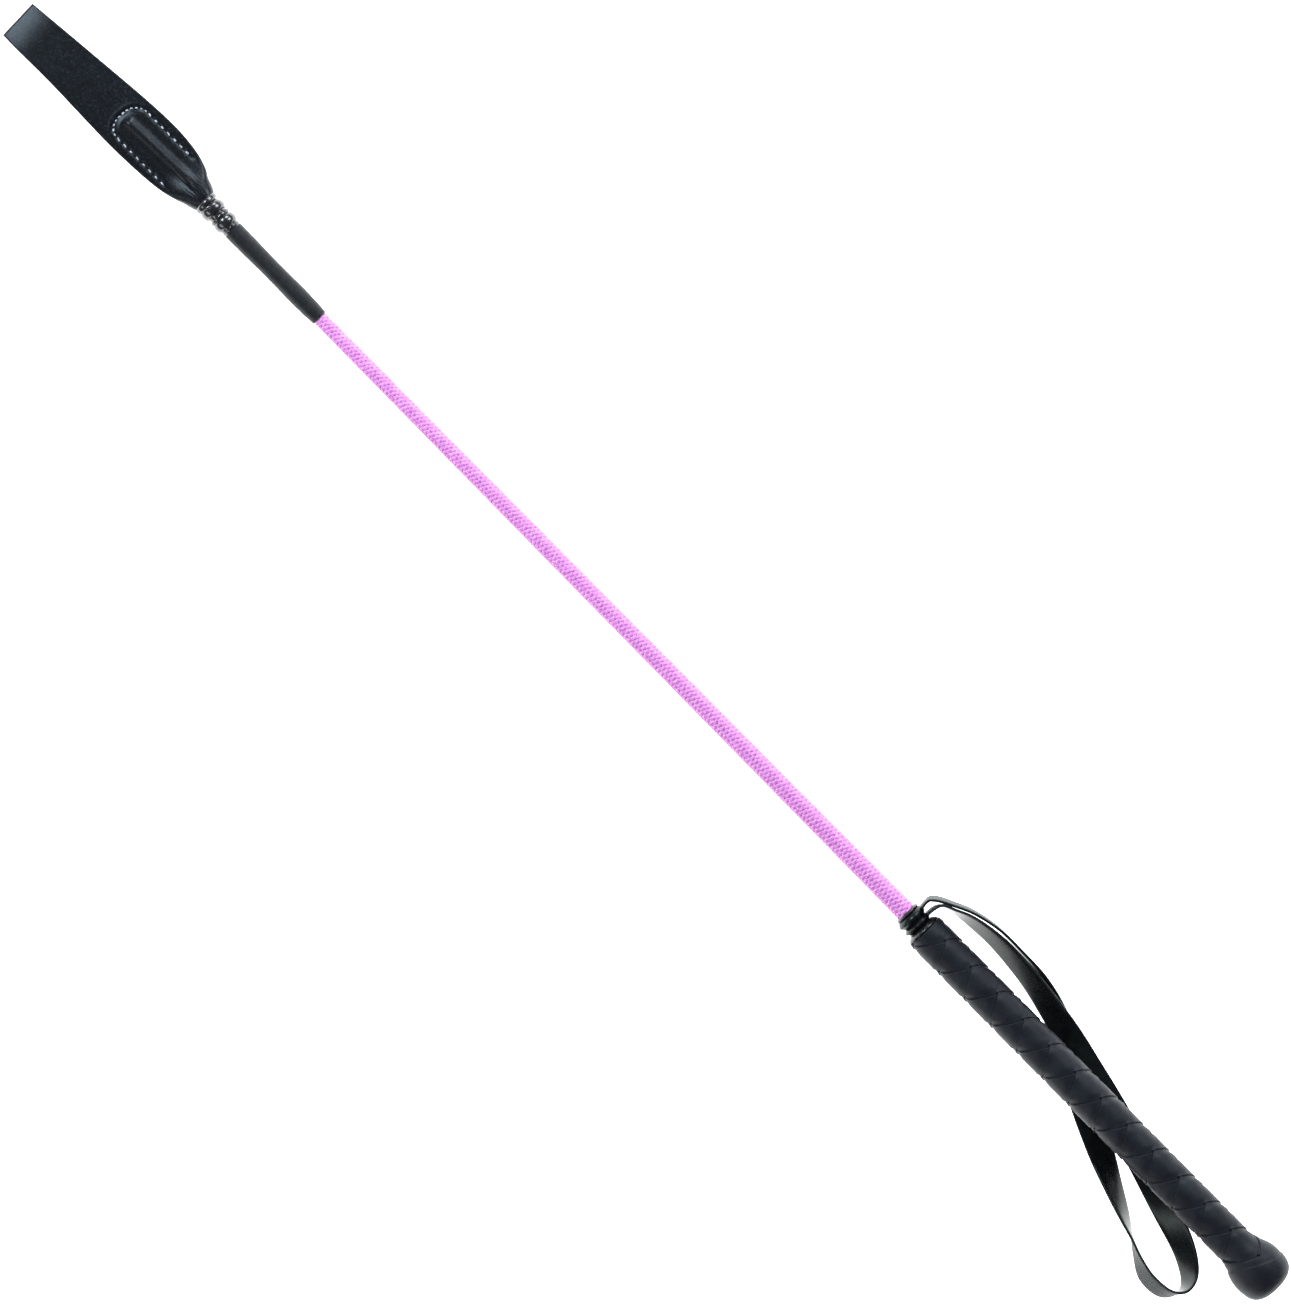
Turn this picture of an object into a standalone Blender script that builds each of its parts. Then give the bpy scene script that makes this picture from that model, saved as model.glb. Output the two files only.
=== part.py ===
"""Riding crop: a tapered rod in a braided sleeve, with a wrapped handle and a
flared butt cap at one end and a folded leather keeper bound on at the other.
A leather wrist strap is threaded on the neck of the handle by its two eyes.

Frame: the origin is the centre of the butt cap's flat end face, +X runs along
the shaft towards the keeper, and +Z comes out of the keeper's upper face.
Lengths are millimetres in the constants, scaled by MM when geometry is made.
"""
import math

import bmesh
import bpy
from mathutils import Matrix, Vector

MM = 0.001
GAP = 0.3

# Stations along the shaft, from the butt face.
CAP_END = 20.4
CAP_CAVITY_START = 2.4
CAP_CAVITY_SHOULDER = 4.6
CAP_CAVITY_END = 12.9
ROD_START = 4.0
GRIP_END = 184.7
CORE_END = 184.0
RETAINING_RING_END = 186.9
REAR_EYE_END = 189.5
FRONT_EYE_END = 193.2
NECK_END = 194.1
BRAID_END = 502.3
WHIPPING_END = 548.4
REAR_BINDING_END = 555.7
FRONT_BINDING_END = 563.5
ROD_END = 604.0
POCKET_END = 608.0
FLAP_START = 609.8
CROP_LENGTH = 660.3

# Radii.
ROD_BUTT_RADIUS = 2.6
ROD_TIP_RADIUS = 1.5
BRAID_BUTT_RADIUS = 4.15
BRAID_TIP_RADIUS = 3.0
CAP_RADIUS = 10.4
CAP_FACE_RADIUS = 3.6
CAP_CAVITY_FACE_RADIUS = 6.0
CAP_CAVITY_RADIUS = 8.3
GRIP_RADIUS = 7.65
GRIP_EDGE_START = 183.6
GRIP_EDGE_RADIUS = 7.1
CORE_RADIUS = 6.2
RETAINING_RING_RADIUS = 6.5
RETAINING_RING_ROUNDING = 0.5
NECK_RADIUS = 4.4
NECK_LIP_RADIUS = 5.3
NECK_LIP_LENGTH = 0.6
NECK_LIP_TAPER = 0.4
EYE_RADIUS = 6.25
EYE_ROUNDING = 0.6
REAR_BINDING_RADIUS = 4.7
FRONT_BINDING_RADIUS = 5.1
BINDING_ROUNDING = 0.9

# Outer profiles as (x, radius): the thread whipping, and the butt cap's flare.
WHIPPING_PROFILE = [(BRAID_END + GAP, 3.15), (506.5, 3.5), (514.5, 3.7), (522.0, 3.45),
                    (530.0, 3.45), (541.0, 3.75), (WHIPPING_END, 3.85)]
CAP_PROFILE = [(0.0, 0.0), (0.0, CAP_FACE_RADIUS), (0.35, 5.6), (1.0, 7.2), (2.4, 8.8), (4.4, 9.9),
               (7.0, 10.3), (9.5, CAP_RADIUS), (12.2, 10.1), (14.6, 9.4), (16.5, 8.6), (18.5, 8.0),
               (CAP_END, 7.75)]

# Keeper leather, folded at the tip and sewn round the end of the rod.
KEEPER_HALF_THICKNESS = 1.2
RIDGE_NECK_RADIUS = 2.9
RIDGE_END_RADIUS = 2.4
RIDGE_END = 605.6
KEEPER_HINGE_X = 609.0
STITCH_RADIUS = 0.25
STITCH_START = 577.0
STITCH_END = 607.4
STITCH_LOW_Y = -8.0
STITCH_HIGH_Y = 6.5
STITCH_CORNER = 5.0

# Edges of the keeper as (x, y), from the neck to the tip.
KEEPER_LOW_EDGE = [(560, -5.5), (564, -6), (572, -9.2), (579, -11), (590, -11.9), (606, -11.2),
                   (634, -8.7), (652, -7), (CROP_LENGTH, -6.2)]
KEEPER_HIGH_EDGE = [(560, 4.6), (564, 5.3), (572, 7.6), (579, 9.1), (590, 10.1), (606, 10.5),
                    (634, 9.9), (652, 10.1), (CROP_LENGTH, 10)]
KEEPER_EDGE_STEPS = 4

# Wrist strap: flat leather that leaves the rear eye, arcs back beside the grip, passes
# flat under it, turns at the butt and comes back to the front eye.
STRAP_WIDTH = 10.5
STRAP_THICKNESS = 1.3
STRAP_STEPS = 4
TAB_END_Y = -9.0
TAB_START_Y = -5.0
REAR_TAB_X = 188.1
FRONT_TAB_X = 192.0

# Route as (x, y, z, lean): lean is the turn of the strap's width about its path, in
# degrees, with 0 standing on edge and -90 lying flat.
STRAP_ROUTE = [
    (186.2, -12.2, 0.0, 0),
    (183.0, -13.0, -0.2, -6),
    (175.5, -14.9, -0.8, -20),
    (165.0, -16.2, -2.0, -29),
    (154.5, -16.1, -3.4, -35),
    (142.0, -15.0, -4.4, -43),
    (129.0, -12.7, -5.8, -58),
    (118.0, -10.5, -7.6, -75),
    (107.0, -8.0, -8.8, -88),
    (86.0, -3.0, -8.9, -90),
    (62.0, 4.2, -9.1, -87),
    (46.0, 9.4, -9.3, -67),
    (33.6, 13.8, -7.7, -50),
    (25.4, 18.7, -6.8, -34),
    (22.2, 23.3, -6.0, -13),
    (22.8, 27.6, -5.7, 9),
    (27.2, 31.2, -5.7, 27),
    (35.0, 31.6, -5.7, 27),
    (42.5, 28.7, -5.8, 10),
    (49.5, 25.0, -6.0, -6),
    (58.0, 21.0, -6.6, -26),
    (69.0, 16.0, -7.8, -46),
    (81.5, 10.0, -9.7, -74),
    (96.5, 2.9, -10.6, -88),
    (108.0, -3.4, -10.7, -90),
    (119.0, -8.6, -10.3, -105),
    (130.0, -13.7, -7.8, -126),
    (142.0, -17.4, -5.6, -146),
    (154.0, -20.3, -3.6, -168),
    (165.0, -20.9, -2.0, -182),
    (176.2, -19.0, -0.8, -187),
    (184.0, -16.4, -0.2, -190),
    (189.2, -14.0, 0.0, -188),
    (191.2, -12.2, 0.0, -180),
]
STRAP_PIVOT = (188.5, -15.0, 0.0)

TURN_STEPS = 32
FINE_TURN_STEPS = 24
CURVE_BEVEL_RESOLUTION = 1

COLOURS = {
    "rod": ((0.75, 0.74, 0.70), 0.35, 0.0),
    "braid": ((0.93, 0.42, 0.90), 0.75, 0.0),
    "thread": ((0.012, 0.012, 0.014), 0.45, 0.0),
    "stitch": ((0.55, 0.62, 0.70), 0.60, 0.0),
    "grip": ((0.020, 0.023, 0.030), 0.55, 0.0),
    "leather": ((0.018, 0.019, 0.023), 0.45, 0.0),
    "strap": ((0.010, 0.011, 0.012), 0.30, 0.0),
    "plastic": ((0.010, 0.010, 0.011), 0.30, 0.0),
    "core": ((0.35, 0.24, 0.14), 0.70, 0.0),
}


def clear_scene():
    """Remove whatever the opened file holds."""
    for obj in list(bpy.data.objects):
        bpy.data.objects.remove(obj, do_unlink=True)


def make_collection(name):
    """New collection linked to the scene."""
    collection = bpy.data.collections.new(name)
    bpy.context.scene.collection.children.link(collection)
    return collection


def make_material(name):
    """Principled material with a colour, roughness and metallic value from COLOURS."""
    colour, roughness, metallic = COLOURS[name]
    material = bpy.data.materials.new(name)
    material.use_nodes = True
    shader = material.node_tree.nodes["Principled BSDF"]
    shader.inputs["Base Color"].default_value = (*colour, 1.0)
    shader.inputs["Roughness"].default_value = roughness
    shader.inputs["Metallic"].default_value = metallic
    return material


def add_object(name, data, collection, material=None, location=(0, 0, 0),
               rotation=(0, 0, 0)):
    """Link an object at a location in millimetres."""
    obj = bpy.data.objects.new(name, data)
    obj.location = Vector(location) * MM
    obj.rotation_euler = rotation
    collection.objects.link(obj)
    if material:
        data.materials.append(material)
    return obj


def shade(mesh):
    """Smooth shading with sharp edges kept."""
    mesh.shade_smooth()
    mesh.set_sharp_from_angle(angle=math.radians(40))


def rod_radius(x):
    """Outer radius of the rod: straight in the handle, tapered to the tip."""
    share = min(max((x - NECK_END) / (ROD_END - NECK_END), 0.0), 1.0)
    return ROD_BUTT_RADIUS + share * (ROD_TIP_RADIUS - ROD_BUTT_RADIUS)


def turned(name, collection, material, outer, inner=(), steps=TURN_STEPS):
    """Turned piece on the shaft's axis from (x, radius) points listed butt to tip.

    Without an inner profile the piece is solid. An inner profile that starts on the
    axis makes a blind hollow, and then the outer one starts on the axis too. The
    profile lies at +X and runs down its outer side, before the piece is laid flat.
    """
    start_x = outer[0][0]
    profile = [(radius, x) for x, radius in reversed(outer)]
    if inner:
        profile += [(radius, x) for x, radius in inner]
    else:
        profile = [(0.0, profile[0][1])] + profile + [(0.0, profile[-1][1])]
    count = len(profile)
    vertices = [(radius * MM, 0.0, (x - start_x) * MM) for radius, x in profile]
    pairs = [(i, (i + 1) % count) for i in range(count if inner else count - 1)]
    edges = [(i, j) for i, j in pairs if profile[i][0] > 0 or profile[j][0] > 0]
    mesh = bpy.data.meshes.new(name)
    mesh.from_pydata(vertices, edges, [])
    obj = add_object(name, mesh, collection, material, location=(start_x, 0, 0),
                     rotation=(0, math.pi / 2, 0))
    screw = obj.modifiers.new("turn", "SCREW")
    screw.steps = steps
    screw.render_steps = steps
    screw.use_merge_vertices = True
    screw.merge_threshold = 1e-6
    screw.use_smooth_shade = True
    return obj


def rounded_ring(start, end, radius, shoulder, points=7):
    """Half-round rim between two ends: full radius in the middle, less at the shoulders."""
    middle = (start + end) / 2
    half = (end - start) / 2
    rim = []
    for i in range(points):
        angle = math.pi * i / (points - 1)
        rim.append((middle - half * math.cos(angle), radius - shoulder * (1 - math.sin(angle))))
    return rim


def smooth_path(points, steps):
    """Catmull-Rom curve through points, with the same number of steps in each span."""
    rows = [Vector(point) for point in points]
    rows = [2 * rows[0] - rows[1]] + rows + [2 * rows[-1] - rows[-2]]
    path = []
    for before, here, there, beyond in zip(rows, rows[1:], rows[2:], rows[3:]):
        for step in range(steps):
            t = step / steps
            path.append(0.5 * (2 * here + (there - before) * t
                               + (2 * before - 5 * here + 4 * there - beyond) * t ** 2
                               + (3 * here - before - 3 * there + beyond) * t ** 3))
    path.append(rows[-2])
    return path


def mesh_from_curve(obj):
    """Replace a curve object by its closed mesh, in the same collection and place."""
    collection = obj.users_collection[0]
    name = obj.name
    bpy.context.view_layer.update()
    evaluated = obj.evaluated_get(bpy.context.evaluated_depsgraph_get())
    mesh = bpy.data.meshes.new_from_object(evaluated)
    curve = obj.data
    matrix = obj.matrix_world.copy()
    bpy.data.objects.remove(obj)
    bpy.data.curves.remove(curve)
    weld = bmesh.new()
    weld.from_mesh(mesh)
    bmesh.ops.remove_doubles(weld, verts=weld.verts, dist=1e-6)
    weld.to_mesh(mesh)
    weld.free()
    solid = bpy.data.objects.new(name, mesh)
    solid.matrix_world = matrix
    collection.objects.link(solid)
    return solid


def flat_outline(name, collection, material, outline, half_thickness, origin=(0, 0, 0)):
    """Flat piece in the XY plane from an outline in millimetres."""
    curve = bpy.data.curves.new(name, "CURVE")
    curve.dimensions = "2D"
    curve.fill_mode = "BOTH"
    curve.extrude = half_thickness * MM
    spline = curve.splines.new("POLY")
    spline.points.add(len(outline) - 1)
    for point, (x, y) in zip(spline.points, outline):
        point.co = ((x - origin[0]) * MM, (y - origin[1]) * MM, 0, 1)
    spline.use_cyclic_u = True
    return mesh_from_curve(add_object(name, curve, collection, material, location=origin))


def keeper_outline(start, end):
    """Closed outline of the keeper between two stations along the shaft."""
    sides = []
    for edge in (KEEPER_LOW_EDGE, KEEPER_HIGH_EDGE):
        path = [tuple(point) for point in smooth_path(edge, KEEPER_EDGE_STEPS)]
        inside = [point for point in path if start + 0.5 < point[0] < end - 0.5]
        sides.append([edge_point(path, start)] + inside + [edge_point(path, end)])
    return sides[0] + sides[1][::-1]


def edge_point(path, x):
    """Point of an edge path at a station along the shaft."""
    for (x0, y0), (x1, y1) in zip(path, path[1:]):
        if x0 <= x <= x1:
            return (x, y0 + (y1 - y0) * (x - x0) / (x1 - x0))
    return path[-1]


def boolean(obj, tool, operation):
    """Cut an object by a tool, or join them."""
    modifier = obj.modifiers.new(operation.lower(), "BOOLEAN")
    modifier.operation = operation
    modifier.object = tool
    modifier.solver = "EXACT"


def as_tool(obj):
    """Mark an object as a tool that isn't part of the crop."""
    obj.hide_render = True
    obj.display_type = "WIRE"
    return obj


def box_tool(name, collection, low, high):
    """Box between two corners in millimetres."""
    mesh = bpy.data.meshes.new(name)
    cube = bmesh.new()
    bmesh.ops.create_cube(cube, size=1.0)
    size = [(b - a) * MM for a, b in zip(low, high)]
    bmesh.ops.transform(cube, matrix=Matrix.Diagonal((*size, 1.0)), verts=cube.verts)
    cube.to_mesh(mesh)
    cube.free()
    middle = [(a + b) / 2 for a, b in zip(low, high)]
    return as_tool(add_object(name, mesh, collection, location=middle))


def make_shaft(parts, materials):
    """Rod, braided sleeve, thread whipping and the two bound rings at the keeper's neck."""
    turned("core_rod", parts, materials["rod"],
           [(x, rod_radius(x)) for x in (ROD_START, NECK_END, WHIPPING_END, ROD_END)],
           steps=FINE_TURN_STEPS)
    braid_start = NECK_END + GAP
    turned("braid_sleeve", parts, materials["braid"],
           [(braid_start, BRAID_BUTT_RADIUS), (BRAID_END, BRAID_TIP_RADIUS)],
           [(x, rod_radius(x) + GAP) for x in (braid_start, BRAID_END)])
    turned("tip_binding", parts, materials["thread"], WHIPPING_PROFILE,
           [(x, rod_radius(x) + GAP) for x in (BRAID_END + GAP, WHIPPING_END)])
    rings = [("binding_ring_rear", WHIPPING_END + GAP, REAR_BINDING_END, REAR_BINDING_RADIUS),
             ("binding_ring_front", REAR_BINDING_END + GAP, FRONT_BINDING_END, FRONT_BINDING_RADIUS)]
    for name, start, end, radius in rings:
        turned(name, parts, materials["thread"], rounded_ring(start, end, radius, BINDING_ROUNDING),
               [(x, rod_radius(x) + GAP) for x in (start, end)])


def make_keeper(parts, tools, materials):
    """Sewn pocket round the rod's end, the free flap beyond it, and the two stitch lines."""
    start = FRONT_BINDING_END + GAP
    pocket = flat_outline("keeper_pocket", parts, None, keeper_outline(start, POCKET_END),
                          KEEPER_HALF_THICKNESS)
    pocket.data.materials.append(materials["leather"])
    ridge = turned("keeper_ridge_tool", tools, None,
                   [(start, RIDGE_NECK_RADIUS), (RIDGE_END, RIDGE_END_RADIUS)],
                   steps=FINE_TURN_STEPS)
    bore = turned("rod_bore_tool", tools, None,
                  [(x, rod_radius(x) + GAP) for x in (start - 1.0, ROD_END + GAP)],
                  steps=FINE_TURN_STEPS)
    boolean(pocket, as_tool(ridge), "UNION")
    boolean(pocket, as_tool(bore), "DIFFERENCE")

    hinge = (KEEPER_HINGE_X, 0, 0)
    flap = flat_outline("keeper_flap", parts, None,
                        keeper_outline(FLAP_START, CROP_LENGTH),
                        KEEPER_HALF_THICKNESS, origin=hinge)
    flap.data.materials.append(materials["leather"])

    height = KEEPER_HALF_THICKNESS + GAP + STITCH_RADIUS
    for name, side in (("keeper_stitching_top", 1), ("keeper_stitching_back", -1)):
        curve = bpy.data.curves.new(name, "CURVE")
        curve.dimensions = "3D"
        curve.bevel_depth = STITCH_RADIUS * MM
        curve.bevel_resolution = CURVE_BEVEL_RESOLUTION
        curve.use_fill_caps = True
        route = stitch_route()
        spline = curve.splines.new("POLY")
        spline.points.add(len(route) - 1)
        for point, (x, y) in zip(spline.points, route):
            point.co = (x * MM, y * MM, side * height * MM, 1)
        add_object(name, curve, parts, materials["stitch"])


def stitch_route(corner_points=5):
    """U-shaped stitch line, open towards the neck, with round corners."""
    centre_x = STITCH_END - STITCH_CORNER
    route = [(STITCH_START, STITCH_LOW_Y)]
    for centre_y, first in ((STITCH_LOW_Y + STITCH_CORNER, -90), (STITCH_HIGH_Y - STITCH_CORNER, 0)):
        for i in range(corner_points):
            angle = math.radians(first + 90 * i / (corner_points - 1))
            route.append((centre_x + STITCH_CORNER * math.cos(angle),
                          centre_y + STITCH_CORNER * math.sin(angle)))
    return route + [(STITCH_START, STITCH_HIGH_Y)]


def make_handle(parts, materials):
    """Core tube, wrapped grip, and the flared butt cap with its former inside."""
    bore = ROD_BUTT_RADIUS + GAP
    core_start = CAP_CAVITY_END - GAP
    turned("handle_core", parts, materials["core"],
           [(core_start, CORE_RADIUS), (CORE_END, CORE_RADIUS)],
           [(core_start, bore), (CORE_END, bore)])
    grip_bore = CORE_RADIUS + GAP
    grip_start = CAP_END + GAP
    turned("grip_wrap", parts, materials["grip"],
           [(grip_start, GRIP_RADIUS), (GRIP_EDGE_START, GRIP_RADIUS), (GRIP_END, GRIP_EDGE_RADIUS)],
           [(grip_start, grip_bore), (GRIP_END, grip_bore)])
    former_end = core_start - GAP
    cavity = [(CAP_CAVITY_START, 0.0), (CAP_CAVITY_START, CAP_CAVITY_FACE_RADIUS),
              (CAP_CAVITY_SHOULDER, CAP_CAVITY_RADIUS), (CAP_CAVITY_END, CAP_CAVITY_RADIUS)]
    former_start = CAP_CAVITY_START + GAP
    turned("butt_former", parts, materials["core"],
           [(former_start, 0.0), (former_start, CAP_CAVITY_FACE_RADIUS - GAP),
            (CAP_CAVITY_SHOULDER + GAP, CAP_CAVITY_RADIUS - GAP),
            (former_end, CAP_CAVITY_RADIUS - GAP)],
           [(ROD_START - GAP, 0.0), (ROD_START - GAP, bore), (former_end, bore)])
    turned("butt_cap", parts, materials["grip"], CAP_PROFILE,
           cavity + [(CAP_CAVITY_END, grip_bore), (CAP_END, grip_bore)])


def make_neck(parts, tools, materials):
    """Neck sleeve, retaining ring, and the strap's two eyes that turn on the sleeve."""
    bore = ROD_BUTT_RADIUS + GAP
    lip_start = NECK_END - NECK_LIP_LENGTH
    turned("neck_sleeve", parts, materials["plastic"],
           [(CORE_END + GAP, NECK_RADIUS), (lip_start, NECK_RADIUS),
            (lip_start, NECK_LIP_RADIUS), (NECK_END, NECK_LIP_RADIUS - NECK_LIP_TAPER)],
           [(CORE_END + GAP, bore), (NECK_END, bore)])
    eye_bore = NECK_RADIUS + GAP
    ring_start = GRIP_END + GAP
    turned("retaining_ring", parts, materials["plastic"],
           rounded_ring(ring_start, RETAINING_RING_END, RETAINING_RING_RADIUS,
                        RETAINING_RING_ROUNDING),
           [(ring_start, eye_bore), (RETAINING_RING_END, eye_bore)])
    eyes = [("loop_eye_rear", RETAINING_RING_END + GAP, REAR_EYE_END, REAR_TAB_X),
            ("loop_eye_front", REAR_EYE_END + GAP, FRONT_EYE_END, FRONT_TAB_X)]
    for name, start, end, tab_x in eyes:
        eye = turned(name, parts, materials["strap"],
                     rounded_ring(start, end, EYE_RADIUS, EYE_ROUNDING),
                     [(start, eye_bore), (end, eye_bore)])
        half = STRAP_THICKNESS / 2
        tab = box_tool(name + "_tab_tool", tools,
                       (tab_x - half, TAB_END_Y, -STRAP_WIDTH / 2),
                       (tab_x + half, TAB_START_Y, STRAP_WIDTH / 2))
        boolean(eye, tab, "UNION")


def make_strap(parts, materials):
    """Strap ribbon along its route, with its origin on the flex axis at the collar."""
    path = smooth_path([(x, y, z, lean) for x, y, z, lean in STRAP_ROUTE], STRAP_STEPS)
    centres = [Vector(point[:3]) for point in path]
    pivot = Vector(STRAP_PIVOT)
    vertices = []
    for i, point in enumerate(path):
        ahead = centres[min(i + 1, len(path) - 1)]
        behind = centres[max(i - 1, 0)]
        along = (ahead - behind).normalized()
        upright = (Vector((0, 0, 1)) - along * along.z).normalized()
        width = Matrix.Rotation(math.radians(point[3]), 3, along) @ upright
        for side in (-1, 1):
            vertices.append((centres[i] + side * width * STRAP_WIDTH / 2 - pivot) * MM)
    faces = [(2 * i, 2 * i + 1, 2 * i + 3, 2 * i + 2) for i in range(len(path) - 1)]
    mesh = bpy.data.meshes.new("wrist_strap")
    mesh.from_pydata([tuple(vertex) for vertex in vertices], [], faces)
    strap = add_object("wrist_strap", mesh, parts, materials["strap"], location=STRAP_PIVOT)
    thickness = strap.modifiers.new("thickness", "SOLIDIFY")
    thickness.thickness = STRAP_THICKNESS * MM
    thickness.offset = 0.0


def main():
    clear_scene()
    parts = make_collection("riding_crop")
    tools = make_collection("riding_crop_tools")
    materials = {name: make_material(name) for name in COLOURS}
    make_shaft(parts, materials)
    make_keeper(parts, tools, materials)
    make_handle(parts, materials)
    make_neck(parts, tools, materials)
    make_strap(parts, materials)
    for obj in parts.objects:
        if obj.type == "MESH":
            shade(obj.data)


main()
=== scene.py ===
"""Looks of the riding crop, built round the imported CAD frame.

Everything is in metres in the crop's own frame: +X runs along the shaft from the butt
to the keeper's tip, +Z comes out of the keeper's upper face. Angles round the shaft
are measured from +Z towards +Y.
"""
import math
import random

import bpy
import numpy as np
from mathutils import Matrix, Vector


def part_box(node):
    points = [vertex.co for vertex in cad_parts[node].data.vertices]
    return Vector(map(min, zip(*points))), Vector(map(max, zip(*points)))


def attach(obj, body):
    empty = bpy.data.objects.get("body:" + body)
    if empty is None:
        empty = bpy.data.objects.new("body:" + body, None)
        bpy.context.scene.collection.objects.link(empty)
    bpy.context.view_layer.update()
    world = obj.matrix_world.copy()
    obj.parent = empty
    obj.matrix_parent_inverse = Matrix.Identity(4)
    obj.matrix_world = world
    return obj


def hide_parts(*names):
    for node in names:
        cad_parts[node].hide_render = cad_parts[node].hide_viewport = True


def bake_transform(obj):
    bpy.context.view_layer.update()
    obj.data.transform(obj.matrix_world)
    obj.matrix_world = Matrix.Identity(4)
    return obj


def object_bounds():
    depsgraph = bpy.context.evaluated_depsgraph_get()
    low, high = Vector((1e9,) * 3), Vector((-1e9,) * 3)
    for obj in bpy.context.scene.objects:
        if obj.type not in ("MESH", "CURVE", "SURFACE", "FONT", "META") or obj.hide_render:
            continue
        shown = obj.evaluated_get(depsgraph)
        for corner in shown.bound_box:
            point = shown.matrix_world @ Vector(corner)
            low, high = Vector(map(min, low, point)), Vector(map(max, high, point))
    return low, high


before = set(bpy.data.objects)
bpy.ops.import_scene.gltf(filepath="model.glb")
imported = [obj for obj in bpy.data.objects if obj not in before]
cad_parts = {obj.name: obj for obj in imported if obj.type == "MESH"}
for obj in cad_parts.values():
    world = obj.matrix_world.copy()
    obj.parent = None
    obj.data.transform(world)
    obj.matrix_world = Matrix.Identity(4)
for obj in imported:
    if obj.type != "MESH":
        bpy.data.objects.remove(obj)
cad_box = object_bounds()

MM = 0.001


# ---------------------------------------------------------------- measures from the frame

def span(node):
    """Start, end and outer radius of a turned CAD node, in metres."""
    low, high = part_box(node)
    return low.x, high.x, high.z


GRIP_END = span("grip_wrap")[1]
BRAID_START, BRAID_END, BRAID_RADIUS = span("braid_sleeve")
BINDING_START, BINDING_END = span("tip_binding")[:2]
KNOT_REAR = span("binding_ring_rear")
KNOT_FRONT = span("binding_ring_front")
EYE_REAR = span("loop_eye_rear")
EYE_FRONT = span("loop_eye_front")
RETAINER = span("retaining_ring")
POCKET_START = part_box("keeper_pocket")[0].x
KEEPER_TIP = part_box("keeper_flap")[1].x
POCKET_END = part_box("keeper_pocket")[1].x
STITCH_LOW, STITCH_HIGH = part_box("keeper_stitching_top")
STITCH_RADIUS = (STITCH_HIGH.z - STITCH_LOW.z) / 2


# ---------------------------------------------------------------- mesh helpers

def smooth_step(t):
    """Eased rise from 0 to 1 as t goes from 0 to 1."""
    t = np.clip(t, 0.0, 1.0)
    return t * t * (3 - 2 * t)


def link(name, vertices, faces, material, body=None, slot=None, smooth=True):
    """Mesh object from vertices and faces, riding on a body unless it is the stage."""
    mesh = bpy.data.meshes.new(name)
    mesh.from_pydata([tuple(map(float, v)) for v in vertices], [], faces)
    mesh.update()
    if smooth:
        mesh.shade_smooth()
    obj = bpy.data.objects.new(name, mesh)
    bpy.context.scene.collection.objects.link(obj)
    mesh.materials.append(material)
    if body:
        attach(obj, body)
    return obj


def loft(rings, closed_path=False):
    """Vertices and faces of a closed solid lofted through rings with equal point counts."""
    rings = np.asarray(rings, float)
    rows, count, _ = rings.shape
    faces = []
    for i in range(rows if closed_path else rows - 1):
        a, b = i * count, (i + 1) % rows * count
        faces += [(a + j, a + (j + 1) % count, b + (j + 1) % count, b + j) for j in range(count)]
    if not closed_path:
        faces.append(tuple(range(count))[::-1])
        faces.append(tuple((rows - 1) * count + j for j in range(count)))
    return rings.reshape(-1, 3), faces


def join_solids(solids):
    """One vertex list and face list from several lofted solids."""
    vertices, faces, base = [], [], 0
    for points, polygons in solids:
        vertices.append(points)
        faces += [tuple(base + i for i in polygon) for polygon in polygons]
        base += len(points)
    return np.vstack(vertices), faces


def rounded_section(points, squareness):
    """Unit superellipse loop: 1 is an ellipse, smaller values are closer to a box."""
    loop = []
    for k in range(points):
        angle = 2 * math.pi * (k + 0.5) / points
        c, s = math.cos(angle), math.sin(angle)
        loop.append((math.copysign(abs(c) ** squareness, c), math.copysign(abs(s) ** squareness, s)))
    return np.array(loop)


def strip_section(columns, corner, lip):
    """Unit loop of a wide flat strip: evenly spaced top points, round corners, raised edges."""
    across = np.linspace(-1 + 2 * corner, 1 - 2 * corner, columns)
    top = [(u, 1 + lip * abs(u) ** 16) for u in across]
    right = [(1 - 0.9 * corner, 0.95 + 0.6 * lip), (1 - 0.25 * corner, 0.45), (1, -0.3)]
    bottom = [(u, -1.0) for u in np.linspace(0.9, -0.9, 10)]
    left = [(-u, v) for u, v in right[::-1]]
    return np.array(top + right + bottom + left)[::-1]


def polar(x, radius, angle):
    """Points round the shaft's axis, with the angle measured from +Z towards +Y."""
    x, radius, angle = np.broadcast_arrays(x, radius, angle)
    return np.stack([x, radius * np.sin(angle), radius * np.cos(angle)], axis=-1)


def smooth_path(points, steps):
    """Catmull-Rom curve through rows of numbers, with equal steps in each span."""
    rows = np.array(points, float)
    rows = np.vstack([2 * rows[0] - rows[1], rows, 2 * rows[-1] - rows[-2]])
    path = []
    for a, b, c, d in zip(rows, rows[1:], rows[2:], rows[3:]):
        for k in range(steps):
            t = k / steps
            path.append(0.5 * (2 * b + (c - a) * t + (2 * a - 5 * b + 4 * c - d) * t ** 2
                               + (3 * b - a - 3 * c + d) * t ** 3))
    path.append(rows[-2])
    return np.array(path)


# An under strand sinks this many times as far as an over strand rises.
UNDER_DEPTH = 1.7


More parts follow.
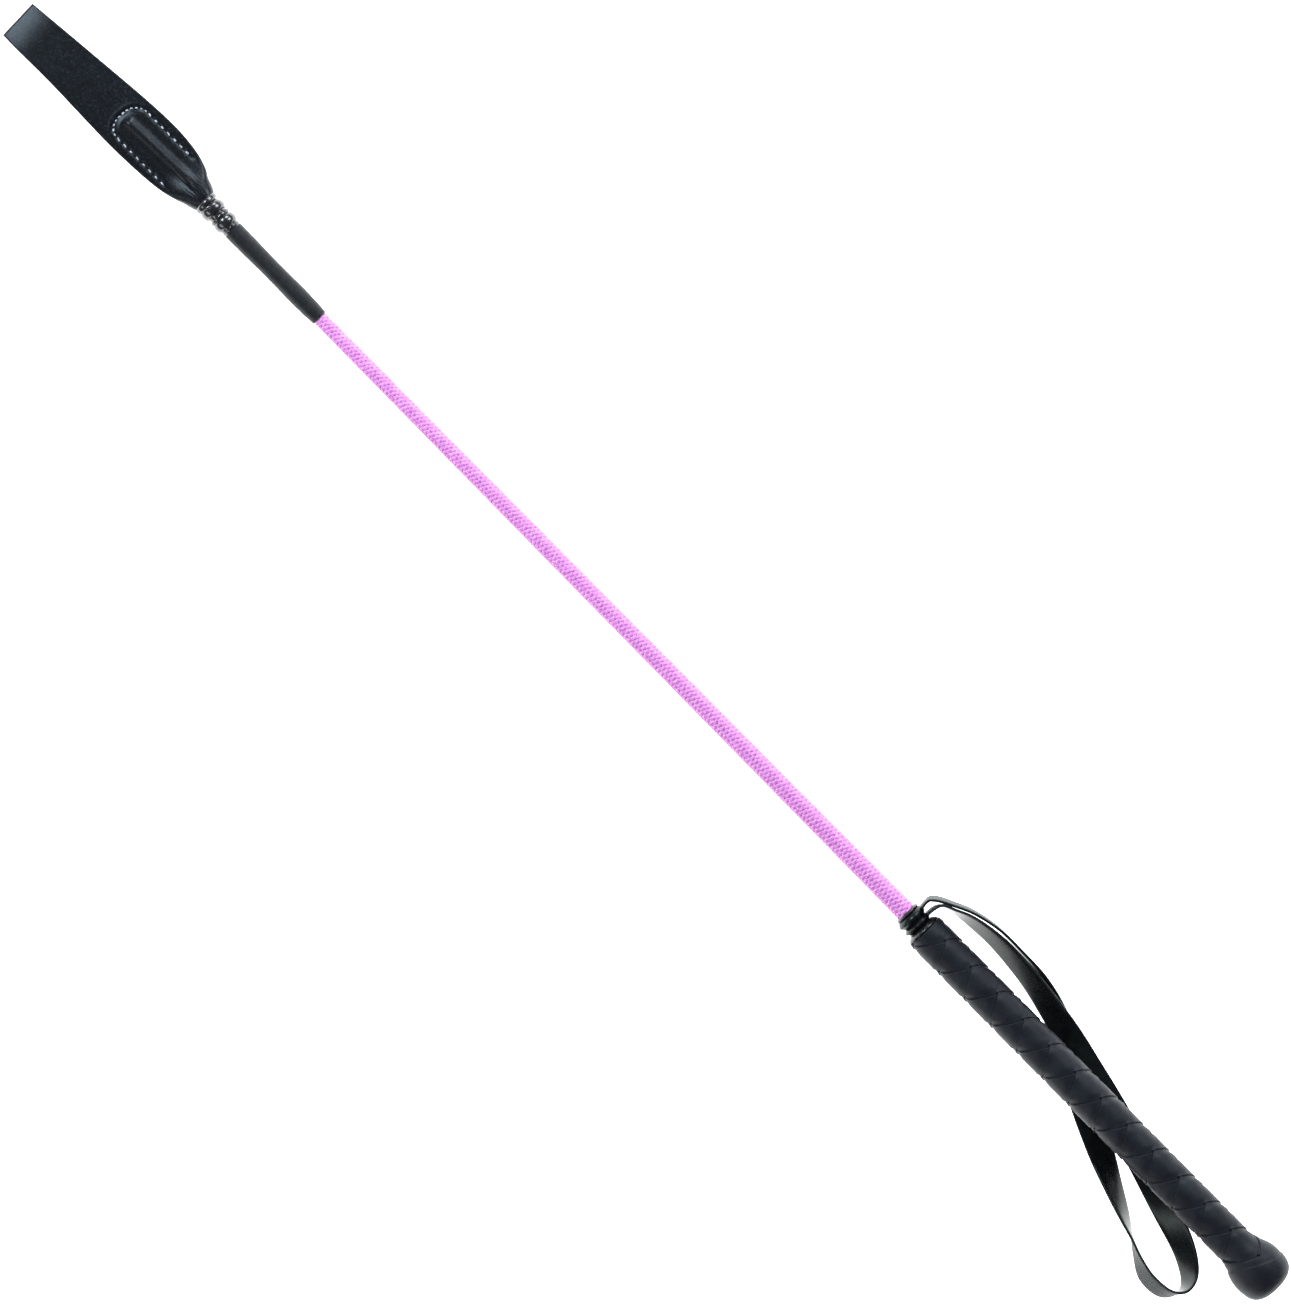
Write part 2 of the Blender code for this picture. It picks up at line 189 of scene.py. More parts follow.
def plait_strands(start, end, radius, ways, pitch, origin, turn, side, width, thickness, lift,
                  per_cell, section, ramp, crown):
    """Closed strands of one hand of a plait round the shaft.

    radius gives the mean radius at each x, ways is the number of strands of this hand,
    pitch the distance along the shaft between neighbours, and lift how far a strand
    rises over and sinks under the other hand, over the share ramp of a crossing. side is
    1 or -1, the strands' hand, and crown how far a strand's middle stands over its edges.
    A crossing of the two hands' edges lies at x = origin and angle = turn.
    """
    count = int((end - start) / pitch * 2 * per_cell)
    x = np.linspace(start, end, count)
    solids = []
    for i in range(ways):
        across = i + 0.5 + section[:, 0] * width / 2
        own = across[None, :]
        along = (x - origin)[:, None] / pitch
        angle = side * 2 * math.pi / ways * (own - along) + turn
        other = 2 * along - own
        cell = np.floor(other)
        over = ((cell + i) % 2 == (0 if side > 0 else 1)).astype(float)
        inside = other - cell
        swell = smooth_step(np.minimum(inside, 1 - inside) / ramp)
        height = np.where(over > 0, swell, -UNDER_DEPTH * swell) * lift
        dome = crown * (1 - section[None, :, 0] ** 2)
        local = radius(x)[:, None] + height + dome + section[None, :, 1] * thickness / 2
        solids.append(loft(polar(x[:, None], local, angle)))
    return solids


def coil(x, radius, width, height, tilt, tilt_angle, squareness):
    """Closed ring round the shaft with a rounded flat section, tilted about one diameter."""
    section = rounded_section(14, squareness)
    angle = np.linspace(0, 2 * math.pi, 72, endpoint=False)[:, None]
    shift = tilt * np.sin(angle - tilt_angle)
    local_x = x + shift + section[None, :, 0] * width / 2
    local_r = radius - height / 2 + section[None, :, 1] * height / 2
    return loft(polar(local_x, local_r, angle), closed_path=True)


def tube(start, end, radius, rows, columns):
    """Closed plain tube round the shaft; radius gives its outer radius at each x."""
    x = np.linspace(start, end, rows)[:, None]
    angle = np.linspace(0, 2 * math.pi, columns, endpoint=False)[None, :]
    return loft(polar(x, radius(x), angle))


def ring_solid(profile):
    """Closed ring turned about the shaft from a closed loop of (x, radius) points."""
    profile = np.array(profile)
    angle = np.linspace(0, 2 * math.pi, 96, endpoint=False)[:, None]
    return loft(polar(profile[None, :, 0], profile[None, :, 1], angle), closed_path=True)


# ---------------------------------------------------------------- materials

class Surface:
    """A Principled material with small helpers for patterns in object coordinates."""

    def __init__(self, name, colour, roughness, **values):
        self.material = bpy.data.materials.new(name)
        self.material.use_nodes = True
        self.tree = self.material.node_tree
        self.shader = self.tree.nodes["Principled BSDF"]
        self.shader.inputs["Base Color"].default_value = (*colour, 1)
        self.shader.inputs["Roughness"].default_value = roughness
        for socket, value in values.items():
            self.shader.inputs[socket.replace("_", " ")].default_value = value
        self.coordinates = self.tree.nodes.new("ShaderNodeTexCoord")
        self.bump_height = None

    def node(self, kind, **values):
        """New node with its properties set."""
        made = self.tree.nodes.new(kind)
        for key, value in values.items():
            setattr(made, key, value)
        return made

    def place(self, stretch):
        """Object coordinates, stretched per axis."""
        mapping = self.node("ShaderNodeMapping")
        mapping.inputs["Scale"].default_value = stretch
        self.tree.links.new(self.coordinates.outputs["Object"], mapping.inputs["Vector"])
        return mapping.outputs["Vector"]

    def noise(self, scale, detail=3.0, stretch=(1, 1, 1)):
        """Soft noise, with scale in features per metre."""
        texture = self.node("ShaderNodeTexNoise")
        texture.inputs["Scale"].default_value = scale
        texture.inputs["Detail"].default_value = detail
        texture.inputs["Roughness"].default_value = 0.55
        self.tree.links.new(self.place(stretch), texture.inputs["Vector"])
        return texture.outputs["Fac"]

    def cells(self, scale):
        """Cellular grain, with scale in cells per metre."""
        texture = self.node("ShaderNodeTexVoronoi", feature="F1")
        texture.inputs["Scale"].default_value = scale
        self.tree.links.new(self.place((1, 1, 1)), texture.inputs["Vector"])
        return texture.outputs["Distance"]

    def ramp(self, factor, stops, colours):
        """Colour ramp between stops, linked from a factor."""
        ramp = self.node("ShaderNodeValToRGB")
        elements = ramp.color_ramp.elements
        while len(elements) < len(stops):
            elements.new(0.5)
        for element, stop, colour in zip(elements, stops, colours):
            element.position = stop
            element.color = (*colour, 1)
        self.tree.links.new(factor, ramp.inputs["Fac"])
        return ramp.outputs["Color"]

    def colour(self, factor, stops, colours):
        """Base colour from a colour ramp."""
        self.tree.links.new(self.ramp(factor, stops, colours), self.shader.inputs["Base Color"])
        return self

    def roughness(self, factor, low, high):
        """Roughness that varies between low and high."""
        limits = self.node("ShaderNodeMapRange")
        limits.inputs["To Min"].default_value = low
        limits.inputs["To Max"].default_value = high
        self.tree.links.new(factor, limits.inputs["Value"])
        self.tree.links.new(limits.outputs["Result"], self.shader.inputs["Roughness"])
        return self

    def bump(self, factor, distance, strength):
        """Adds a bump layer; layers chain through their normals."""
        bump = self.node("ShaderNodeBump")
        bump.inputs["Strength"].default_value = strength
        bump.inputs["Distance"].default_value = distance
        self.tree.links.new(factor, bump.inputs["Height"])
        if self.bump_height:
            self.tree.links.new(self.bump_height, bump.inputs["Normal"])
        self.bump_height = bump.outputs["Normal"]
        self.tree.links.new(self.bump_height, self.shader.inputs["Normal"])
        return self


def make_braid_yarn():
    """Light pink yarn of the braid."""
    surface = Surface("pink_braid_yarn", (0.82, 0.33, 0.80), 0.62, Sheen_Weight=0.1)
    surface.colour(surface.noise(900, detail=4), (0.30, 0.52, 0.72),
                   ((0.72, 0.22, 0.68), (0.88, 0.34, 0.84), (0.96, 0.48, 0.92)))
    surface.bump(surface.noise(5200, detail=2), 0.00012, 0.5)
    return surface.material


def make_braid_gap_shade():
    """Deeper pink liner seen between the yarns: painted shade of the gaps."""
    # The liner's deeper pink is painted shade for the gaps between the yarns.
    surface = Surface("pink_braid_gap_shade", (0.60, 0.16, 0.60), 0.85)
    surface.colour(surface.noise(700), (0.35, 0.65), ((0.50, 0.12, 0.50), (0.66, 0.21, 0.66)))
    surface.bump(surface.noise(3000), 0.0001, 0.4)
    return surface.material


def make_grip():
    """Matt bluish black wrap of the handle."""
    surface = Surface("grip_wrap_leather", (0.010, 0.012, 0.016), 0.46, Specular_IOR_Level=0.18)
    surface.colour(surface.noise(160, detail=4), (0.30, 0.55, 0.78),
                   ((0.008, 0.010, 0.014), (0.013, 0.016, 0.022), (0.019, 0.023, 0.031)))
    surface.roughness(surface.noise(420, detail=3), 0.40, 0.60)
    surface.bump(surface.noise(130, detail=3), 0.0008, 0.22)
    surface.bump(surface.cells(1500), 0.00010, 0.16)
    surface.bump(surface.noise(380, detail=5), 0.00022, 0.16)
    return surface.material


def make_keeper_leather():
    """Fine-grained satin leather of the keeper."""
    surface = Surface("keeper_leather", (0.004, 0.005, 0.007), 0.28, Specular_IOR_Level=0.27,
                      Specular_Tint=(0.84, 0.92, 1.0, 1.0))
    surface.colour(surface.noise(1350, detail=6), (0.38, 0.55, 0.72),
                   ((0.0015, 0.002, 0.003), (0.004, 0.005, 0.007), (0.022, 0.026, 0.034)))
    surface.roughness(surface.noise(1300, detail=4), 0.22, 0.38)
    surface.bump(surface.cells(2600), 0.00007, 0.3)
    surface.bump(surface.noise(1700, detail=5), 0.00008, 0.35)
    return surface.material


def make_strap_leather():
    """Glossy smooth side of the strap."""
    surface = Surface("strap_leather_smooth", (0.004, 0.005, 0.005), 0.24, Specular_IOR_Level=0.28,
                      Specular_Tint=(0.86, 1.0, 0.96, 1.0))
    surface.colour(surface.noise(240, detail=4), (0.35, 0.75),
                   ((0.003, 0.0035, 0.004), (0.008, 0.010, 0.010)))
    surface.roughness(surface.noise(500, detail=3), 0.20, 0.34)
    surface.bump(surface.noise(900, detail=3), 0.00006, 0.35)
    return surface.material


def make_strap_grain():
    """Grained side of the strap."""
    surface = Surface("strap_leather_grain", (0.006, 0.008, 0.008), 0.5, Specular_IOR_Level=0.25,
                      Specular_Tint=(0.86, 1.0, 0.96, 1.0))
    surface.colour(surface.noise(700, detail=4), (0.35, 0.70),
                   ((0.003, 0.004, 0.004), (0.020, 0.026, 0.025)))
    surface.roughness(surface.noise(900, detail=3), 0.42, 0.65)
    surface.bump(surface.cells(1600), 0.00020, 0.6)
    surface.bump(surface.noise(1500, detail=3), 0.00016, 0.6)
    return surface.material


def make_collar():
    """Glossy black plastic of the neck."""
    surface = Surface("collar_rubber", (0.004, 0.005, 0.006), 0.28, Specular_IOR_Level=0.4,
                      Coat_Weight=0.2, Coat_Roughness=0.2)
    surface.colour(surface.noise(300), (0.35, 0.75), ((0.003, 0.003, 0.004), (0.008, 0.009, 0.011)))
    surface.roughness(surface.noise(600), 0.18, 0.36)
    surface.bump(surface.noise(900), 0.00006, 0.3)
    return surface.material


def make_thread():
    """Waxed black thread."""
    surface = Surface("binding_thread", (0.007, 0.008, 0.010), 0.45, Specular_IOR_Level=0.42)
    surface.colour(surface.noise(800, detail=4), (0.30, 0.75),
                   ((0.004, 0.004, 0.006), (0.016, 0.018, 0.023)))
    surface.roughness(surface.noise(1100), 0.34, 0.56)
    surface.bump(surface.noise(3600, detail=2, stretch=(0.35, 1, 1)), 0.00008, 0.45)
    return surface.material


def make_lace():
    """Glossy black lace of the bound rings."""
    surface = Surface("binding_lace", (0.005, 0.005, 0.006), 0.22, Specular_IOR_Level=0.7,
                      Coat_Weight=0.8, Coat_Roughness=0.12)
    surface.colour(surface.noise(500), (0.35, 0.75), ((0.003, 0.003, 0.004), (0.010, 0.011, 0.014)))
    surface.roughness(surface.noise(800), 0.16, 0.34)
    surface.bump(surface.noise(700, detail=2), 0.00012, 0.4)
    return surface.material


def make_stitch_thread():
    """Pale blue-grey sewing thread."""
    surface = Surface("stitch_thread", (0.46, 0.54, 0.66), 0.55, Sheen_Weight=0.2)
    surface.colour(surface.noise(1500), (0.35, 0.65), ((0.30, 0.36, 0.46), (0.80, 0.87, 0.95)))
    surface.bump(surface.noise(6000, stretch=(0.4, 1, 1)), 0.00006, 0.6)
    return surface.material


def make_hidden(name, colour, roughness, grain):
    """Plain streaky material for an inner piece."""
    surface = Surface(name, colour, roughness)
    dark = tuple(0.7 * c for c in colour)
    surface.colour(surface.noise(grain, stretch=(0.1, 1, 1)), (0.35, 0.65), (dark, colour))
    surface.bump(surface.noise(grain * 2, stretch=(0.1, 1, 1)), 0.0001, 0.3)
    return surface.material


# ---------------------------------------------------------------- shaft

BRAID_TIP_RADIUS = 3.0 * MM


def braid_radius(x):
    """Outer radius of the tapered braid."""
    share = (x - BRAID_START) / (BRAID_END - BRAID_START)
    return BRAID_RADIUS + share * (BRAID_TIP_RADIUS - BRAID_RADIUS)


BRAID_WAYS = 6
BRAID_PITCH = 1.73 * MM
BRAID_TURN = math.radians(10)
YARN_THICKNESS = 0.50 * MM
YARN_LIFT = 0.16 * MM
YARN_CROWN = 0.18 * MM
YARN_WIDTH = 0.90
LINER_DEPTH = 0.05 * MM


def build_braid(yarn, gap_shade_material):
    """Round braid of six strands each way over a liner in deeper pink, painted shade of the gaps, tapered
    with the rod.
    """
    proud = YARN_THICKNESS * 0.5 + YARN_CROWN + YARN_LIFT
    section = rounded_section(8, 0.9)
    for name, side in (("braid_strands_right", 1), ("braid_strands_left", -1)):
        solids = plait_strands(BRAID_START, BRAID_END, lambda x: braid_radius(x) - proud, BRAID_WAYS,
                               BRAID_PITCH, BRAID_START, BRAID_TURN, side, YARN_WIDTH,
                               YARN_THICKNESS, YARN_LIFT, per_cell=5, section=section, ramp=0.5,
                               crown=YARN_CROWN)
        strands = link(name, *join_solids(solids), yarn, "crop", "braid")
        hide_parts("braid_sleeve")
    # The liner under the yarns is coloured deeper pink as painted shade of the gaps.
    depth = proud + LINER_DEPTH
    inner = tube(BRAID_START, BRAID_END, lambda x: braid_radius(x) - depth, 60, 32)
    link("braid_gap_shade_liner", *inner, gap_shade_material, "crop", "braid")


# Outer radius of the whipping in millimetres at shares of its length.
BINDING_WAVES = np.array([(0.0, 3.22), (0.04, 3.40), (0.12, 3.62), (0.26, 3.78), (0.42, 3.60),
                          (0.60, 3.60), (0.84, 3.80), (1.0, 3.85)])
THREAD_DIAMETER = 0.40 * MM
THREAD_WANDER = 0.035 * MM
THREAD_SQUEEZE = 1.06
UNDERLAY_DEPTH = 0.75 * THREAD_DIAMETER


def binding_radius(x):
    """Outer radius of the thread whipping, with its slight waves."""
    share = (x - BINDING_START) / (BINDING_END - BINDING_START)
    return np.interp(share, BINDING_WAVES[:, 0], BINDING_WAVES[:, 1] * MM)


def build_tip_binding(thread):
    """Close-wound thread: one long helix over a dark under-layer."""
    length = BINDING_END - BINDING_START - THREAD_DIAMETER
    turns = length / THREAD_DIAMETER
    turn = np.linspace(0, 1, int(turns * 40))
    angle = 2 * math.pi * turns * turn
    x = BINDING_START + THREAD_DIAMETER / 2 + length * turn
    rng = np.random.default_rng(7)
    wander = np.interp(turn * turns, np.arange(int(turns) + 2), rng.normal(0, 1, int(turns) + 2))
    radius = binding_radius(x) - THREAD_DIAMETER / 2 + THREAD_WANDER * wander
    section = rounded_section(6, 1.0) * THREAD_DIAMETER / 2 * THREAD_SQUEEZE
    rings = polar(x[:, None] + section[None, :, 0], radius[:, None] + section[None, :, 1],
                  angle[:, None])
    whipping = link("tip_binding_thread", *loft(rings), thread, "crop", "binding_thread")
    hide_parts("tip_binding")
    under = tube(BINDING_START, BINDING_END, lambda x: binding_radius(x) - UNDERLAY_DEPTH, 24, 32)
    link("tip_binding_underlay", *under, thread, "crop", "binding_thread")


# Turns of lace in each ring: x, depth under the ring's radius, width, height and tilt in
# millimetres, then the tilt's angle and the section's squareness.
REAR_TURNS = [(552.3, 0.0, 4.6, 3.0, 0.12, 0.4, 0.95), (555.1, 0.15, 1.5, 1.6, 0.28, 2.0, 0.9),
              (549.2, 0.55, 0.7, 0.9, 0.06, 1.0, 0.9)]
FRONT_TURNS = [(562.2, 0.0, 2.7, 2.4, 0.30, 2.4, 0.95), (558.7, 0.10, 4.6, 3.0, -0.30, 2.2, 0.95),
               (560.4, 0.10, 1.5, 1.1, 1.9, 0.35, 0.95)]
KNOT_CORE_RADIUS = 3.75 * MM


def lace_turns(ring, turns):
    """Coils of one bound ring, from its measured span and its table of turns."""
    return [coil(x * MM, ring[2] - depth * MM, width * MM, height * MM, tilt * MM, angle, squareness)
            for x, depth, width, height, tilt, angle, squareness in turns]


def build_knots(lace):
    """The two bound rings at the keeper's neck, each of glossy round lace turns."""
    core = tube(BINDING_END - 0.5 * MM, KNOT_FRONT[1] - 0.6 * MM, lambda x: KNOT_CORE_RADIUS, 12, 32)
    rear = lace_turns(KNOT_REAR, REAR_TURNS) + [core]
    knot = link("rear_knot", *join_solids(rear), lace, "crop", "binding_thread")
    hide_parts("binding_ring_rear")
    front = lace_turns(KNOT_FRONT, FRONT_TURNS)
    knot = link("front_knot", *join_solids(front), lace, "crop", "binding_thread")
    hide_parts("binding_ring_front")


# ---------------------------------------------------------------- handle

LAP_PITCH = 13.6 * MM
LAP_ORIGIN = 109.4 * MM
LAP_TURN = math.radians(-22)
LAP_THICKNESS = 0.80 * MM
LAP_LIFT = 0.40 * MM
LAP_CROWN = 0.06 * MM
STRIP_WIDTH = 0.94
STRIP_START = 9.0 * MM
UNDER_WRAP_START = 6.0 * MM
FLARE_CORNER = LAP_ORIGIN - 7 * LAP_PITCH

# Outline of the flared butt and the handle, as (x, radius) in millimetres.
HANDLE_OUTLINE = smooth_path([
    (0.0, 3.4), (0.2, 5.2), (0.6, 6.4), (1.2, 7.5), (2.4, 8.8), (4.4, 9.8), (7.0, 10.25), (9.5, 10.38),
    (12.2, 10.1), (14.6, 9.4), (16.5, 8.6), (18.5, 8.0), (20.4, 7.72), (24.0, 7.62), (28.0, 7.62)], 8) * MM


def cap_radius(x):
    """Outer radius of the handle and its flared butt."""
    return np.interp(x, HANDLE_OUTLINE[:, 0], HANDLE_OUTLINE[:, 1])


def build_grip(leather):
    """Handle wrap: two wide strips each way, plaited from the neck over the flared butt."""
    proud = 0.5 * LAP_THICKNESS + LAP_CROWN + LAP_LIFT
    section = strip_section(columns=26, corner=0.035, lip=0.50)
    solids = []
    for side in (1, -1):
        solids += plait_strands(STRIP_START, GRIP_END, lambda x: cap_radius(x) - proud, 2, LAP_PITCH,
                                LAP_ORIGIN, LAP_TURN, side, STRIP_WIDTH, LAP_THICKNESS, LAP_LIFT,
                                per_cell=18, section=section, ramp=0.22, crown=LAP_CROWN)
    wrap = link("grip_wrap_strips", *join_solids(solids), leather, "crop", "grip")
    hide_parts("grip_wrap")
    depth = proud + 0.8 * LAP_LIFT
    under = tube(UNDER_WRAP_START, GRIP_END - 0.1 * MM, lambda x: cap_radius(x) - depth, 90, 40)
    link("grip_under_wrap", *under, leather, "crop", "grip")


# The covers' thickness and how far each stands over the outline, the groove that the end
# cap's edge presses into the flare's cover, and the flat of the butt's end.
COVER_THICKNESS = 0.6 * MM
FLARE_PROUD = 0.16 * MM
END_PROUD = 0.36 * MM
GROOVE_DEPTH = 0.08 * MM
GROOVE_WIDTH = 0.9 * MM
FACE_RADIUS = 3.4 * MM

# Mean place of the end cap's edge along the shaft, and the swings that slant it.
LAP_EDGE = 12.4 * MM
LAP_SLANT = 4.4 * MM
LAP_BEND = 0.6 * MM
LAP_CLEARANCE = 0.9 * MM


def cover_shell(start, edge, proud, angle, groove=None):
    """Rows of a leather shell on the butt from start out to a rounded edge.

    groove gives the places where another edge presses into the shell.
    """
    share = np.concatenate([np.linspace(0, 1, 60), [1.0, 0.995, 0.98, 0.9, 0.7]])
    drop = np.concatenate([np.zeros(58), [0.04, 0.22, 0.55, 0.85, 1.0, 1.1, 1.2]])
    rows = []
    for t, inward in zip(share, drop * COVER_THICKNESS):
        x = start + (edge - start) * t
        radius = cap_radius(x) + proud - inward
        if groove is not None:
            radius = radius - GROOVE_DEPTH * np.exp(-((x - groove) / GROOVE_WIDTH) ** 2)
        rows.append(polar(x, radius, angle))
    return rows


def build_butt(leather):
    """Cover of the butt over the ends of the plaited strips.

    The flare's leather ends on the last diamonds' edges, and the end cap laps over it.
    """
    angle = np.linspace(0, 2 * math.pi, 180, endpoint=False)
    phase = (angle - LAP_TURN) / (math.pi / 2)
    zigzag = np.abs((phase + 1) % 2 - 1)
    flare_edge = FLARE_CORNER + LAP_PITCH / 2 * zigzag - 0.25 * MM
    lap_edge = LAP_EDGE + LAP_SLANT * np.sin(angle) + LAP_BEND * np.sin(2 * angle + 0.8)
    lap_edge = np.minimum(lap_edge, flare_edge - LAP_CLEARANCE)
    flare = cover_shell(4.5 * MM, flare_edge, FLARE_PROUD, angle, lap_edge + 0.5 * MM)
    link("butt_flare", *loft(flare), leather, "crop", "grip")
    cap = cover_shell(0.0, lap_edge, END_PROUD, angle)
    cap[0] = polar(0.0 * angle, FACE_RADIUS, angle)
    cover = link("butt_cover", *loft(cap), leather, "crop", "grip")
    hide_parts("butt_cap")


# ---------------------------------------------------------------- collar

EYE_RIM = 6.2 * MM
EYE_BORE = 4.62 * MM
EYE_SLOPE = 1.35 * MM
EYE_MARGIN = 0.12 * MM
SLEEVE_RADIUS = 4.45 * MM
SLEEVE_BORE = 3.0 * MM
RETAINER_BORE = 4.5 * MM

# Lip of the sleeve, as millimetres back from its end and out from its radius.
SLEEVE_LIP = [(0.70, 0.0), (0.62, 0.35), (0.4, 0.75), (0.15, 0.6)]
# Bead of the retaining ring, as millimetres on from its start and out from its radius.
RETAINER_BEAD = [(0.0, 0.6), (0.35, 0.7), (0.9, 0.1)]


def eye_rim(start, end):
    """Outline of one of the strap's eyes, pointed at the middle of its width."""
    middle = (start + end) / 2
    half = (end - start) / 2 + EYE_MARGIN
    rim = [(middle - half, EYE_BORE)]
    for t in np.linspace(-1, 1, 13):
        rim.append((middle + half * t, EYE_RIM - EYE_SLOPE * abs(t) ** 1.35))
    rim.append((middle + half, EYE_BORE))
    return rim


def build_collar(collar, strap):
    """Neck sleeve, retaining ring and the strap's two eyes, with their pointed rims."""
    low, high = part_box("neck_sleeve")
    shoulder = BRAID_START + 0.15 * MM
    sleeve = [(low.x, SLEEVE_BORE), (low.x, SLEEVE_RADIUS)]
    sleeve += [(high.x - back * MM, SLEEVE_RADIUS + out * MM) for back, out in SLEEVE_LIP]
    sleeve += [(shoulder, SLEEVE_RADIUS + 0.1 * MM), (shoulder, SLEEVE_BORE)]
    trim = link("neck_sleeve_trim", *ring_solid(sleeve), collar, "crop", "collar_plastic")
    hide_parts("neck_sleeve")
    start, end, radius = RETAINER
    lip = [(start, RETAINER_BORE)]
    lip += [(start + on * MM, radius + out * MM) for on, out in RETAINER_BEAD]
    lip += [(end - 0.2 * MM, radius - 1.0 * MM), (end, radius - 1.3 * MM), (end, RETAINER_BORE)]
    ring = link("retaining_lip", *ring_solid(lip), collar, "crop", "collar_plastic")
    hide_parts("retaining_ring")
    for name, node, place in (("strap_eye_rear", "loop_eye_rear", EYE_REAR),
                              ("strap_eye_front", "loop_eye_front", EYE_FRONT)):
        rim = eye_rim(*place[:2])
        eye = link(name, *ring_solid(rim), strap, "strap_eyes", "strap_leather")
        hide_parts(node)


# ---------------------------------------------------------------- wrist strap

STRAP_WIDTH = 10.5 * MM
STRAP_THICKNESS = 1.3 * MM
STRAP_DOME = 0.10

# The strap's route in millimetres as (x, y, z, lean), from inside the rear eye to inside
# the front eye. lean is the turn of its width about its path: 0 stands on edge.
STRAP_ROUTE = [
    (188.6, -4.9, 0.0, 0),
    (188.1, -9.0, 0.0, 0),
    (186.5, -11.4, 0.0, -4),
    (183.0, -12.9, -0.2, -6),
    (175.5, -14.9, -0.8, -20),
    (165.0, -16.2, -2.0, -29),
    (154.5, -16.1, -3.4, -35),
    (142.0, -15.0, -4.4, -43),
    (129.0, -12.7, -5.8, -58),
    (118.0, -10.5, -7.6, -75),
    (107.0, -8.0, -8.8, -88),
    (86.0, -3.0, -8.9, -90),
    (62.0, 4.2, -9.1, -87),
    (46.0, 9.4, -9.3, -67),
    (33.6, 13.8, -7.7, -50),
    (25.4, 18.7, -6.8, -34),
    (22.2, 23.3, -6.0, -13),
    (22.8, 27.6, -5.7, 9),
    (27.2, 31.2, -5.7, 27),
    (35.0, 31.6, -5.7, 27),
    (42.5, 28.7, -5.8, 10),
    (49.5, 25.0, -6.0, -6),
    (58.0, 21.0, -6.6, -26),
    (69.0, 16.0, -7.8, -46),
    (81.5, 10.0, -9.7, -74),
    (96.5, 2.9, -10.6, -88),
    (108.0, -3.4, -10.7, -90),
    (119.0, -8.6, -10.3, -105),
    (130.0, -13.7, -7.8, -126),
    (142.0, -17.4, -5.6, -146),
    (154.0, -19.6, -3.6, -170),
    (165.0, -20.2, -2.0, -181),
    (176.2, -18.0, -0.8, -184),
    (184.0, -14.7, -0.2, -185),
    (188.9, -12.2, 0.0, -186),
    (191.4, -10.2, 0.0, -185),
    (192.0, -8.4, 0.0, -180),
    (191.8, -4.9, 0.0, -180),
]


def build_strap(smooth_side, rough_side):
    """One flat strap with rounded edges, bending between its eyes and its loop.

    Its inner side, towards the handle, is smooth and its outer side has the grain.
    """
    path = smooth_path(STRAP_ROUTE, 8)
    centre = path[:, :3] * MM
    along = np.gradient(centre, axis=0)
    along /= np.linalg.norm(along, axis=1)[:, None]
    section = rounded_section(28, 0.28)
    rings = []
    for point, tangent, lean in zip(centre, along, path[:, 3]):
        direction = Vector(tangent)
        upright = (Vector((0, 0, 1)) - direction * direction.z).normalized()
        width = np.array(Matrix.Rotation(math.radians(lean), 3, direction) @ upright)
        normal = np.cross(tangent, width)
        dome = 1 - STRAP_DOME * section[:, 0] ** 2
        rings.append(point + section[:, :1] * width * STRAP_WIDTH / 2
                     + (section[:, 1] * dome)[:, None] * normal * STRAP_THICKNESS / 2)
    strap = link("wrist_strap_leather", *loft(rings), smooth_side, slot="strap_leather")
    strap.data.materials.append(rough_side)
    points = len(section)
    for face in strap.data.polygons:
        outer = face.index < (len(rings) - 1) * points and section[face.index % points, 1] < 0
        face.material_index = 1 if outer else 0
    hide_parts("wrist_strap")
    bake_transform(strap)


# ---------------------------------------------------------------- keeper

# Edges of the keeper in millimetres as (x, y), from the neck to the tip.
KEEPER_LOW_EDGE = [(562.4, -4.4), (563.6, -5.2), (566, -6.3), (568.6, -7.2), (572, -9.1), (579, -11),
                   (590, -11.9), (606, -11.2), (634, -8.7), (652, -7), (660.3, -6.2)]
KEEPER_HIGH_EDGE = [(562.4, 4.2), (563.6, 4.9), (566, 5.6), (568.6, 6.3), (572, 7.5), (579, 9.1),
                    (590, 10.1), (606, 10.5), (634, 9.9), (652, 10.1), (660.3, 10)]
KEEPER_HALF = 1.15 * MM
ROD_TIP = 604.5 * MM
NECK_HEIGHT = 4.3 * MM
NECK_LENGTH = 17 * MM
NECK_THINNEST = 0.45 * MM
GATHER_HEIGHT = 0.045 * MM
GATHER_PITCH = 1.05 * MM
CURL_START = 647 * MM
CURL_DROP = 1.4 * MM
WARP = 0.25 * MM
TIP_THINNING = 0.16 * MM
TIP_THINNING_LENGTH = 12 * MM
TIP_SLANT = 0.6 * MM
TIP_SLANT_LENGTH = 14 * MM
FOLD_RADIUS = KEEPER_HALF + 0.1 * MM
EDGE_BULGE = 0.35 * MM

# The ridge over the rod: its rise, the fall of its two flanks, the crease along its higher
# side and how far the crease lies from the crest.
RIDGE_LENGTH = 36 * MM
RIDGE_RISE = 1.45 * MM
RIDGE_GAIN = 0.35 * MM
RIDGE_FLANKS = (2.5 * MM, 1.45 * MM)
RIDGE_END_LENGTH = 3.6 * MM
CREASE_START = 1.55 * MM
CREASE_DRIFT = 1.3 * MM
CREASE_OFFSET = 1.75 * MM
CREASE_DEPTH = 0.22 * MM
CREASE_WIDTH = 0.55 * MM

# The sewn pocket: where it begins, the groove under the stitches, the padding inside the U
# and the rim outside it.
POCKET_RISE_START = 572 * MM
POCKET_RISE_LENGTH = 8 * MM
GROOVE_UNDER_STITCHES = 0.30 * MM
STITCH_GROOVE_WIDTH = 0.60 * MM
PADDING_HEIGHT = 0.34 * MM
PADDING_SLOPE = 2.6 * MM
RIM_HEIGHT = 0.10 * MM
RIM_OFFSET = 1.4 * MM
RIM_WIDTH = 0.8 * MM
ROW_PITCH = 3.27 * MM

